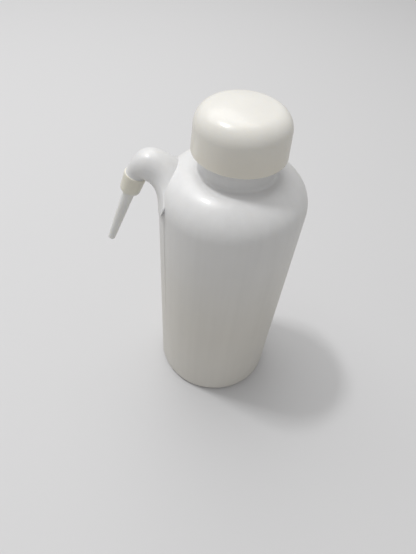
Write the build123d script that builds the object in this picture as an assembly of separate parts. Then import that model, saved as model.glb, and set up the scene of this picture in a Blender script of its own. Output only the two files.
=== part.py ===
"""Squeeze wash bottle: blown body with a side arm moulded in one with it, domed screw cap, sealing wad and jet.

Millimetres. The origin is the centre of the base on the body's axis, +Z is up and the arm points along -X.
"""
import os
from math import acos, atan2, cos, degrees, radians, sin, tan

from build123d import *

# Body
body_radius = 37.0
body_wall = 1.3
base_edge_radius = 3.5
foot_ring_width = 5.0
base_push_up = 2.6
base_slope_run = 5.2
base_bend_radius = 2.0
shoulder_top_z = 153.7
shoulder_flat = 0.1

# Neck
neck_radius = 18.3
neck_wall = 1.6
neck_foot_radius = 1.7
neck_height = 23.8
neck_rim_round = 0.4

# Screw thread of neck and cap
thread_pitch = 4.2
thread_height = 1.2
thread_root_width = 2.8
thread_crest_width = 1.2
neck_thread_turns = 1.5
cap_thread_turns = 1.25
thread_top_gap = 2.6
thread_radial_gap = 0.6
thread_sink = 0.3

# Side arm: each row is a section of the outside, from the channel in the body to the end of the arm. It has
# the point on the side of the cap and the one on the side of the crook, both as (distance beyond the body's
# side, height above the shoulder's top), the half width across, and how full the crook side and the cap side are.
arm_sections = [
    ((-5.7, -35.7), (-0.6, -35.7), 12.0, 0.50, 0.50),
    ((-5.7, -20.0), (0.2, -26.5), 13.5, 0.50, 0.50),
    ((-11.6, -5.0), (1.0, -17.0), 17.6, 0.45, 0.90),
    ((-6.4, -0.2), (3.4, -12.4), 10.4, 1.00, 1.00),
    ((4.0, 4.0), (6.6, -11.6), 7.8, 1.00, 1.00),
    ((13.4, -2.3), (7.6, -11.2), 5.6, 1.00, 1.00),
]
web_inset = 6.0
web_thickness = 1.4
web_foot_gap = 7.0
channel_overlap = 8.0
crease_depth = 0.7
crease_half_angle = 60.0
crease_reach = 3.0
crease_foot_z = 14.0
crease_foot_clearance = 0.1
crease_top_drop = 15.0

# End of the arm and the jet on it
jet_lean = 21.0
arm_end_reach = 11.9
arm_end_drop = 10.2
arm_end_radius = 5.1
spigot_radius = 4.6
spigot_wall = 1.1
spigot_length = 8.5
spigot_chamfer = 0.4
spigot_clearance = 0.05
hub_radius = 5.7
hub_foot_radius = 5.1
hub_length = 11.0
hub_rim_round = 0.5
hub_foot_round = 1.2
hub_floor = 1.3
hub_floor_gap = 0.4
jet_root_radius = 3.1
jet_root_fillet = 0.6
jet_tip_radius = 2.0
jet_length = 37.3
jet_root_bore = 2.1
jet_tip_bore = 0.8

# Cap and wad
cap_wall = 1.6
cap_flare = 0.6
cap_edge_radius = 9.0
cap_edge_drop = 2.6
cap_crown = 1.1
cap_neck_gap = 9.3
cap_foot_round = 0.5
liner_thickness = 1.5
liner_overhang = 0.3
press_ring_margin = 0.2

# How far a cutting or joining form runs on past the face that it meets
overrun = 1.0

neck_top_z = shoulder_top_z + neck_height
neck_bore = neck_radius - neck_wall
shoulder_radius = body_radius - neck_radius - neck_foot_radius - shoulder_flat
web_from_axis = body_radius - web_inset
web_foot_z = body_wall + web_foot_gap
cap_bore = neck_radius + thread_height + thread_radial_gap
cap_skirt_radius = cap_bore + cap_wall
cap_foot_z = shoulder_top_z + cap_neck_gap
cap_edge_z = neck_top_z - cap_edge_drop
liner_top_z = neck_top_z + liner_thickness
socket_depth = spigot_length + hub_floor_gap


def vessel(inset, foot_z, top_z):
    """The body's turned form with its base, shoulder and neck, moved inwards by the wall."""
    side = body_radius - inset
    neck = neck_bore if inset else neck_radius
    shoulder_z = shoulder_top_z - inset
    ring = body_radius - base_edge_radius - foot_ring_width
    dome = ring - base_slope_run
    outline = Polyline(
        (0, foot_z + base_push_up),
        (dome, foot_z + base_push_up),
        (ring, foot_z),
        (side, foot_z),
        (side, shoulder_z),
        (neck, shoulder_z),
        (neck, top_z),
        (0, top_z),
        close=True,
    )
    face = make_face(Plane.XZ * outline)

    def corner(x, z):
        return face.vertices().sort_by_distance((x, 0, z))[0]

    face = fillet(corner(side, foot_z), base_edge_radius - inset)
    face = fillet(corner(side, shoulder_z), shoulder_radius - inset)
    face = fillet(corner(neck, shoulder_z), neck_foot_radius + inset)
    face = fillet([corner(ring, foot_z), corner(dome, foot_z + base_push_up)], base_bend_radius)
    if not inset:
        face = fillet(corner(neck, top_z), neck_rim_round)
    return revolve(face, Axis.Z)


def thread_ridge(root_radius, outwards, foot_z, turns):
    """A trapezoid ridge wound on a cylinder; outwards is 1 on the neck and -1 inside the cap."""
    sunk = root_radius - outwards * thread_sink
    crest = root_radius + outwards * thread_height
    slope = (thread_root_width - thread_crest_width) / 2 / thread_height
    sunk_half = thread_root_width / 2 + slope * thread_sink
    crest_half = thread_crest_width / 2
    section = make_face(
        Plane.XZ
        * Polyline(
            (sunk, -sunk_half),
            (crest, -crest_half),
            (crest, crest_half),
            (sunk, sunk_half),
            close=True,
        )
    )
    path = Helix(thread_pitch, thread_pitch * turns, root_radius)
    return Pos(0, 0, foot_z) * sweep(section, path=path, is_frenet=True)


def arm_point(beyond, height):
    """A point in the arm's middle plane."""
    return Vector(-(body_radius + beyond), 0, shoulder_top_z + height)


def arm_section(near_point, crook_point, half_width, crook_fill, near_fill, inset):
    """One closed section of the arm: two curves that meet at its front and back corners."""
    middle = (near_point + crook_point) * 0.5
    across = (crook_point - near_point).normalized()
    depth = (crook_point - near_point).length / 2 - inset
    width = half_width - inset
    sideways = Vector(0, 1, 0)
    front = middle - sideways * width
    back = middle + sideways * width
    reach = across * (depth * 4 / 3)
    crook_side = Bezier(
        front,
        middle + reach - sideways * (width * crook_fill),
        middle + reach + sideways * (width * crook_fill),
        back,
    )
    near_side = Bezier(
        back,
        middle - reach + sideways * (width * near_fill),
        middle - reach - sideways * (width * near_fill),
        front,
    )
    return Wire([crook_side, near_side])


def arm_end_point(along):
    """A point on the jet's axis, at a distance below the arm's end."""
    lean = radians(jet_lean)
    return arm_point(arm_end_reach, -arm_end_drop) - Vector(sin(lean), 0, cos(lean)) * along


def spigot_frame(along):
    """A plane across the jet's axis, looking down it."""
    lean = radians(jet_lean)
    return Plane(origin=arm_end_point(along), x_dir=(0, 1, 0), z_dir=(-sin(lean), 0, -cos(lean)))


def swan_neck(inset):
    """The arm's form from the channel over the elbow to its end, moved inwards by the wall."""
    wires = []
    for near, crook, half_width, crook_fill, near_fill in arm_sections:
        wires.append(arm_section(arm_point(*near), arm_point(*crook), half_width, crook_fill, near_fill, inset))
    lean = radians(jet_lean)
    outward = Vector(-cos(lean), 0, sin(lean)) * arm_end_radius
    end = arm_end_point(0)
    wires.append(arm_section(end + outward, end - outward, arm_end_radius, 1, 1, inset))
    return Solid.make_loft(wires)


def arm_side(from_axis, foot_z, top_z):
    """A block of all that lies further out on the arm's side than a plane across the body."""
    block = Box(
        body_radius,
        2 * body_radius,
        top_z - foot_z,
        align=(Align.MAX, Align.CENTER, Align.MIN),
    )
    return Pos(-from_axis, 0, foot_z) * block


def web_block():
    """All that lies beyond the web: it stands upright in the body and leans in under the arm's root."""
    upright = arm_point(-web_inset, arm_sections[1][0][1])
    leaned = arm_point(*arm_sections[2][0])
    far = -2 * body_radius
    outline = Polyline(
        (upright.X, web_foot_z),
        (upright.X, upright.Z),
        (leaned.X, leaned.Z),
        (leaned.X, shoulder_top_z),
        (far, shoulder_top_z),
        (far, web_foot_z),
        close=True,
    )
    return extrude(make_face(Plane.XZ * outline), body_radius, both=True)


def crease(side):
    """The groove where the web meets the wall on one side; it fades out towards the base."""
    azimuth = side * acos(web_from_axis / body_radius)
    outward = Vector(-cos(azimuth), sin(azimuth), 0)
    top = outward * (body_radius - crease_depth) + Vector(0, 0, shoulder_top_z - crease_top_drop)
    foot = outward * (body_radius + crease_foot_clearance) + Vector(0, 0, crease_foot_z)
    half_width = crease_reach * tan(radians(crease_half_angle))
    wedge = Polyline((0, 0), (crease_reach, half_width), (crease_reach, -half_width), close=True)
    frame = Plane(origin=foot, x_dir=outward, z_dir=top - foot)
    return extrude(frame * make_face(wedge), (top - foot).length)


def spigot():
    """The round end of the arm that the jet is pushed onto."""
    stub = Cylinder(spigot_radius, overrun + spigot_length, align=(Align.CENTER, Align.CENTER, Align.MIN))
    stub = chamfer(stub.edges().sort_by(Axis.Z)[-1], spigot_chamfer)
    return spigot_frame(-overrun) * stub


def bottle():
    """The blown body with its neck, its thread and the arm, hollow all through."""
    first_section_z = shoulder_top_z + arm_sections[0][0][1]
    inside = vessel(body_wall, body_wall, neck_top_z + overrun)
    channel = inside & arm_side(
        web_from_axis + web_thickness,
        web_foot_z - overrun,
        first_section_z + channel_overlap,
    )
    bore = spigot_frame(-overrun) * Cylinder(
        spigot_radius - spigot_wall,
        spigot_length + 2 * overrun,
        align=(Align.CENTER, Align.CENTER, Align.MIN),
    )
    thread_foot_z = neck_top_z - thread_top_gap - neck_thread_turns * thread_pitch
    solid = vessel(0, 0, neck_top_z) - crease(-1) - crease(1)
    solid += swan_neck(0)
    solid -= swan_neck(body_wall)
    solid -= inside - web_block()
    solid -= channel
    solid += spigot()
    solid -= bore
    solid += thread_ridge(neck_radius, 1, thread_foot_z, neck_thread_turns)
    return solid


def dome(inset, foot_radius, foot_z):
    """The cap's turned form, moved inwards by the wall: skirt, rounded edge and low crown."""
    skirt = cap_skirt_radius - inset
    edge = cap_edge_radius - inset
    edge_centre = cap_skirt_radius - cap_edge_radius
    rise = edge + cap_crown
    crown_radius = (edge_centre**2 + rise**2 - edge**2) / (2 * cap_crown)
    crown_centre_z = cap_edge_z + rise - crown_radius
    touch = degrees(atan2(crown_radius - rise, edge_centre))
    outline = [
        Line((0, foot_z), (foot_radius, foot_z)),
        Line((foot_radius, foot_z), (skirt, cap_edge_z)),
        CenterArc((edge_centre, cap_edge_z), edge, 0, touch),
        CenterArc((0, crown_centre_z), crown_radius, touch, 90 - touch),
        Line((0, cap_edge_z + rise), (0, foot_z)),
    ]
    face = make_face(Plane.XZ * Curve(outline))
    if not inset:
        foot_corner = face.vertices().sort_by_distance((foot_radius, 0, foot_z))[0]
        face = fillet(foot_corner, cap_foot_round)
    return revolve(face, Axis.Z)


def screw_cap():
    """The domed cap with its thread and the ring that presses on the wad."""
    outside = dome(0, cap_skirt_radius + cap_flare, cap_foot_z)
    inside = dome(cap_wall, cap_bore, cap_foot_z - overrun)
    ring_height = cap_edge_z + cap_edge_radius + cap_crown - liner_top_z
    ring = Cylinder(neck_radius - press_ring_margin, ring_height) - Cylinder(
        neck_bore + press_ring_margin, ring_height
    )
    ring = Pos(0, 0, liner_top_z + ring_height / 2) * ring
    thread_foot_z = neck_top_z - thread_top_gap - neck_thread_turns * thread_pitch - thread_pitch / 2
    cap = outside - inside
    cap += ring & outside
    cap += thread_ridge(cap_bore, -1, thread_foot_z, cap_thread_turns)
    return cap


def cap_liner():
    """The wad that lies on the neck's rim."""
    wad = Cylinder(
        neck_radius + liner_overhang,
        liner_thickness,
        align=(Align.CENTER, Align.CENTER, Align.MIN),
    )
    return Pos(0, 0, neck_top_z) * wad


def nozzle():
    """The jet: a hub that fits on the spigot and a long tapered tube."""
    socket = spigot_radius + spigot_clearance
    bore_start = hub_length - hub_floor
    tip = hub_length + jet_length
    outline = Polyline(
        (socket, 0),
        (hub_radius, 0),
        (hub_foot_radius, hub_length),
        (jet_root_radius, hub_length),
        (jet_tip_radius, tip),
        (jet_tip_bore, tip),
        (jet_root_bore, bore_start),
        (socket, socket_depth),
        close=True,
    )
    face = make_face(Plane.XZ * outline)

    def corner(x, z):
        return face.vertices().sort_by_distance((x, 0, z))[0]

    face = fillet(corner(hub_radius, 0), hub_rim_round)
    face = fillet(corner(hub_foot_radius, hub_length), hub_foot_round)
    face = fillet(corner(jet_root_radius, hub_length), jet_root_fillet)
    return spigot_frame(0) * revolve(face, Axis.Z)


if __name__ == "__main__":
    os.makedirs("parts", exist_ok=True)
    for node in (bottle, screw_cap, cap_liner, nozzle):
        export_step(node(), f"parts/{node.__name__}.step")
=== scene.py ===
"""Looks of the squeeze wash bottle: milky blown body with its side arm, ivory screw cap, wad and jet.

Metres, in the frame of the CAD part: the axis of the body is Z and the arm points along -X.
All four CAD nodes keep their shape. Each gets a plastic of its own over one shared moulded skin.
"""
from math import cos, radians, sin

import bpy
from mathutils import Matrix, Vector

# Camera, from the fit of the bottle's outline to the photograph; angles in degrees
camera_place = (0.0, -0.16351, 0.25964)
camera_heading = -2.96
camera_down = 48.47
camera_roll = 5.75
camera_lens = 26.0
camera_sensor = 36.0
camera_nearest = 0.01

# Lamps: direction that they shine from, distance, width, depth, watts and colour
window_lamp = ((-0.372, 0.08, 0.925), 1.5, 0.16, 0.1, 7.0, (1.0, 1.0, 1.0))
ceiling_lamp = ((-0.3, 0.35, 0.9), 1.7, 1.8, 1.6, 14.0, (1.0, 0.995, 0.98))
lamp_aim_height = 0.1
room_colour = (1.0, 0.995, 0.985, 1)
room_strength = 0.5

# Table top: what the camera sees, and what lights the bottle from below
table_size = 8.0
table_seen = (0.62, 0.62, 0.63, 1)
table_bounce = (0.48, 0.475, 0.465, 1)
table_roughness = 0.7

# Moulded skin
cloud_detail = 3.0
cloud_softness = 0.45
streak_scale = 260.0
streak_detail = 2.0
streak_stretch = (1.0, 1.0, 0.04)
skin_detail = 2.0
skin_depth = 0.0002
cloud_dark = 0.3
cloud_light = 0.7
middle_of_noise = 0.5

# Faces that turn by more than this stay sharp, in degrees
edge_angle = 32


def place_camera():
    """The camera stands above and in front of the bottle and looks down at it."""
    heading, down, roll = radians(camera_heading), radians(camera_down), radians(camera_roll)
    forward = Vector((sin(heading) * cos(down), cos(heading) * cos(down), -sin(down)))
    level = Vector((cos(heading), -sin(heading), 0))
    above = level.cross(forward)
    right = cos(roll) * level + sin(roll) * above
    up = cos(roll) * above - sin(roll) * level
    turn = Matrix((right, up, -forward)).transposed()
    camera = bpy.data.objects.new("camera", bpy.data.cameras.new("camera"))
    bpy.context.scene.collection.objects.link(camera)
    camera.matrix_world = Matrix.Translation(camera_place) @ turn.to_4x4()
    camera.data.sensor_width = camera_sensor
    camera.data.lens = camera_lens
    camera.data.clip_start = camera_nearest
    bpy.context.scene.camera = camera


def hang_lamp(name, direction, distance, width, depth, watts, colour):
    """A rectangular lamp that shines on the bottle from a direction."""
    lamp = bpy.data.lights.new(name, "AREA")
    lamp.shape = "RECTANGLE"
    lamp.size = width
    lamp.size_y = depth
    lamp.energy = watts
    lamp.color = colour
    holder = bpy.data.objects.new(name, lamp)
    bpy.context.scene.collection.objects.link(holder)
    towards = Vector(direction).normalized()
    holder.location = towards * distance + Vector((0, 0, lamp_aim_height))
    holder.rotation_euler = towards.to_track_quat("Z", "Y").to_euler()


def light_the_room():
    """A small window-like lamp above on the left, a wide soft one overhead and a pale even room."""
    hang_lamp("window_lamp", *window_lamp)
    hang_lamp("ceiling_lamp", *ceiling_lamp)
    world = bpy.data.worlds.new("room")
    bpy.context.scene.world = world
    world.use_nodes = True
    background = world.node_tree.nodes["Background"]
    background.inputs["Color"].default_value = room_colour
    background.inputs["Strength"].default_value = room_strength
    bpy.context.scene.view_settings.view_transform = "Standard"


def new_material(name):
    """A fresh node material, with its shader."""
    material = bpy.data.materials.new(name)
    material.use_nodes = True
    return material, material.node_tree.nodes["Principled BSDF"]


def lay_table():
    """A plain pale table top; other rays than the camera's see it a little darker."""
    bpy.ops.object.select_all(action="DESELECT")
    bpy.ops.mesh.primitive_plane_add(size=table_size, location=(0, 0, 0))
    table = bpy.context.object
    table.name = "floor"
    material, shader = new_material("pale_table")
    nodes, links = material.node_tree.nodes, material.node_tree.links
    path = nodes.new("ShaderNodeLightPath")
    seen = nodes.new("ShaderNodeMix")
    seen.data_type = "RGBA"
    seen.inputs["A"].default_value = table_bounce
    seen.inputs["B"].default_value = table_seen
    links.new(path.outputs["Is Camera Ray"], seen.inputs["Factor"])
    links.new(seen.outputs["Result"], shader.inputs["Base Color"])
    shader.inputs["Roughness"].default_value = table_roughness
    table.data.materials.append(material)


def moulded_skin():
    """Shared effect of moulded plastic: soft clouds, faint upright flow streaks and a fine skin."""
    group = bpy.data.node_groups.new("moulded_skin", "ShaderNodeTree")
    for name in ("Cloud Size", "Streaks", "Skin Scale", "Gloss", "Gloss Change"):
        group.interface.new_socket(name=name, in_out="INPUT", socket_type="NodeSocketFloat")
    for name in ("Clouds", "Height", "Roughness"):
        group.interface.new_socket(name=name, in_out="OUTPUT", socket_type="NodeSocketFloat")
    nodes, links = group.nodes, group.links
    given = nodes.new("NodeGroupInput")
    result = nodes.new("NodeGroupOutput")
    place = nodes.new("ShaderNodeTexCoord")

    clouds = nodes.new("ShaderNodeTexNoise")
    clouds.inputs["Detail"].default_value = cloud_detail
    clouds.inputs["Roughness"].default_value = cloud_softness
    links.new(place.outputs["Object"], clouds.inputs["Vector"])
    links.new(given.outputs["Cloud Size"], clouds.inputs["Scale"])

    drawn = nodes.new("ShaderNodeMapping")
    drawn.inputs["Scale"].default_value = streak_stretch
    links.new(place.outputs["Object"], drawn.inputs["Vector"])
    streaks = nodes.new("ShaderNodeTexNoise")
    streaks.inputs["Scale"].default_value = streak_scale
    streaks.inputs["Detail"].default_value = streak_detail
    links.new(drawn.outputs["Vector"], streaks.inputs["Vector"])

    mixed = nodes.new("ShaderNodeMix")
    links.new(given.outputs["Streaks"], mixed.inputs["Factor"])
    links.new(clouds.outputs["Fac"], mixed.inputs["A"])
    links.new(streaks.outputs["Fac"], mixed.inputs["B"])
    links.new(mixed.outputs["Result"], result.inputs["Clouds"])

    skin = nodes.new("ShaderNodeTexNoise")
    skin.inputs["Detail"].default_value = skin_detail
    links.new(place.outputs["Object"], skin.inputs["Vector"])
    links.new(given.outputs["Skin Scale"], skin.inputs["Scale"])
    links.new(skin.outputs["Fac"], result.inputs["Height"])

    centred = nodes.new("ShaderNodeMath")
    centred.operation = "SUBTRACT"
    centred.inputs[1].default_value = middle_of_noise
    links.new(clouds.outputs["Fac"], centred.inputs[0])
    gloss = nodes.new("ShaderNodeMath")
    gloss.operation = "MULTIPLY_ADD"
    links.new(centred.outputs["Value"], gloss.inputs[0])
    links.new(given.outputs["Gloss Change"], gloss.inputs[1])
    links.new(given.outputs["Gloss"], gloss.inputs[2])
    links.new(gloss.outputs["Value"], result.inputs["Roughness"])
    return group


def plastic(name, skin, low_tint_and_shade, high_tint_and_light, mottle, bump, skin_values, shader_values):
    """A plastic whose colour drifts from one height to another; each end is a colour and its height.
    On the body and the cap this drift is painted light: painted reflection on the body, painted shade
    on the cap's skirt.
    """
    material, shader = new_material(name)
    nodes, links = material.node_tree.nodes, material.node_tree.links
    place = nodes.new("ShaderNodeTexCoord")
    split = nodes.new("ShaderNodeSeparateXYZ")
    links.new(place.outputs["Object"], split.inputs["Vector"])
    # Height drift between the two ends: painted shade and painted reflection where the body and the
    # cap use it, plain colour change on the jet and the wad
    rise = nodes.new("ShaderNodeMapRange")
    rise.interpolation_type = "SMOOTHSTEP"
    rise.inputs["From Min"].default_value = low_tint_and_shade[1]
    rise.inputs["From Max"].default_value = high_tint_and_light[1]
    links.new(split.outputs["Z"], rise.inputs["Value"])
    tint_and_painted_light = nodes.new("ShaderNodeMix")
    tint_and_painted_light.data_type = "RGBA"
    tint_and_painted_light.inputs["A"].default_value = (*low_tint_and_shade[0], 1)
    tint_and_painted_light.inputs["B"].default_value = (*high_tint_and_light[0], 1)
    links.new(rise.outputs["Result"], tint_and_painted_light.inputs["Factor"])

    moulded = nodes.new("ShaderNodeGroup")
    moulded.node_tree = skin
    for socket, value in skin_values.items():
        moulded.inputs[socket].default_value = value
    level = nodes.new("ShaderNodeMapRange")
    level.inputs["From Min"].default_value = cloud_dark
    level.inputs["From Max"].default_value = cloud_light
    level.inputs["To Min"].default_value = 1 - mottle
    level.inputs["To Max"].default_value = 1 + mottle
    links.new(moulded.outputs["Clouds"], level.inputs["Value"])
    mottled = nodes.new("ShaderNodeVectorMath")
    mottled.operation = "SCALE"
    links.new(tint_and_painted_light.outputs["Result"], mottled.inputs["Vector"])
    links.new(level.outputs["Result"], mottled.inputs["Scale"])
    links.new(mottled.outputs["Vector"], shader.inputs["Base Color"])
    links.new(moulded.outputs["Roughness"], shader.inputs["Roughness"])

    relief = nodes.new("ShaderNodeBump")
    relief.inputs["Strength"].default_value = bump
    relief.inputs["Distance"].default_value = skin_depth
    links.new(moulded.outputs["Height"], relief.inputs["Height"])
    links.new(relief.outputs["Normal"], shader.inputs["Normal"])
    for socket, value in shader_values.items():
        shader.inputs[socket].default_value = value
    return material


def dress(node, material):
    """A CAD node keeps its shape, gets a finish and is shaded smooth between its sharp edges."""
    node.data.materials.clear()
    node.data.materials.append(material)
    for face in node.data.polygons:
        face.material_index = 0
    bpy.ops.object.select_all(action="DESELECT")
    node.select_set(True)
    bpy.context.view_layer.objects.active = node
    bpy.ops.object.shade_smooth_by_angle(angle=radians(edge_angle))


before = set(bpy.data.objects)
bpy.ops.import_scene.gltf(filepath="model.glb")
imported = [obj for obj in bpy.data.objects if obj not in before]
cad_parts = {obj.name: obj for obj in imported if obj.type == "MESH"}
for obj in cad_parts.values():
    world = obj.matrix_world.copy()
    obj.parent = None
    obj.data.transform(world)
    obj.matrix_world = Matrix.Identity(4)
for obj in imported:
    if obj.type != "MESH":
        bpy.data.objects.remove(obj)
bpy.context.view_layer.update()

place_camera()
light_the_room()
lay_table()
skin = moulded_skin()

body_plastic = plastic(
    "body_plastic",
    skin,
    # Painted light: the lighter, bluish shoulder is painted sky reflection; the darker, warmer lower
    # body is painted shade and painted warm bounce from the floor
    low_tint_and_shade=((0.70, 0.68, 0.64), 0.06),
    high_tint_and_light=((0.75, 0.75, 0.755), 0.15),
    mottle=0.03,
    bump=0.05,
    skin_values={
        "Cloud Size": 45.0,
        "Streaks": 0.55,
        "Skin Scale": 1500.0,
        "Gloss": 0.38,
        "Gloss Change": 0.04,
    },
    shader_values={
        "Subsurface Weight": 0.25,
        "Subsurface Radius": (1.0, 0.95, 0.85),
        "Subsurface Scale": 0.0012,
        "IOR": 1.51,
        "Coat Weight": 0.3,
        "Coat Roughness": 0.12,
    },
)
cap_plastic = plastic(
    "cap_plastic",
    skin,
    # Painted shade: the cap's skirt is painted darker and warmer towards its foot and lighter towards
    # the lit top
    low_tint_and_shade=((0.79, 0.76, 0.69), 0.163),
    high_tint_and_light=((0.80, 0.785, 0.745), 0.183),
    mottle=0.02,
    bump=0.04,
    skin_values={
        "Cloud Size": 70.0,
        "Streaks": 0.15,
        "Skin Scale": 1200.0,
        "Gloss": 0.25,
        "Gloss Change": 0.04,
    },
    shader_values={
        "Subsurface Weight": 0.3,
        "Subsurface Radius": (1.0, 0.93, 0.78),
        "Subsurface Scale": 0.0015,
        "IOR": 1.49,
        "Coat Weight": 0.2,
        "Coat Roughness": 0.12,
    },
)
jet_plastic = plastic(
    "jet_plastic",
    skin,
    low_tint_and_shade=((0.88, 0.88, 0.87), 0.130),
    high_tint_and_light=((0.88, 0.85, 0.75), 0.136),
    mottle=0.03,
    bump=0.04,
    skin_values={
        "Cloud Size": 160.0,
        "Streaks": 0.3,
        "Skin Scale": 2500.0,
        "Gloss": 0.3,
        "Gloss Change": 0.04,
    },
    shader_values={
        "Subsurface Weight": 0.3,
        "Subsurface Radius": (1.0, 0.95, 0.8),
        "Subsurface Scale": 0.001,
        "IOR": 1.51,
        "Transmission Weight": 0.12,
    },
)
wad_foam = plastic(
    "wad_foam",
    skin,
    low_tint_and_shade=((0.78, 0.775, 0.75), 0.1775),
    high_tint_and_light=((0.80, 0.795, 0.77), 0.179),
    mottle=0.05,
    bump=0.5,
    skin_values={
        "Cloud Size": 900.0,
        "Streaks": 0.0,
        "Skin Scale": 3200.0,
        "Gloss": 0.75,
        "Gloss Change": 0.15,
    },
    shader_values={"IOR": 1.5},
)

dress(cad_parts["bottle"], body_plastic)
dress(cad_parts["screw_cap"], cap_plastic)
dress(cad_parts["nozzle"], jet_plastic)
dress(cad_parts["cap_liner"], wad_foam)
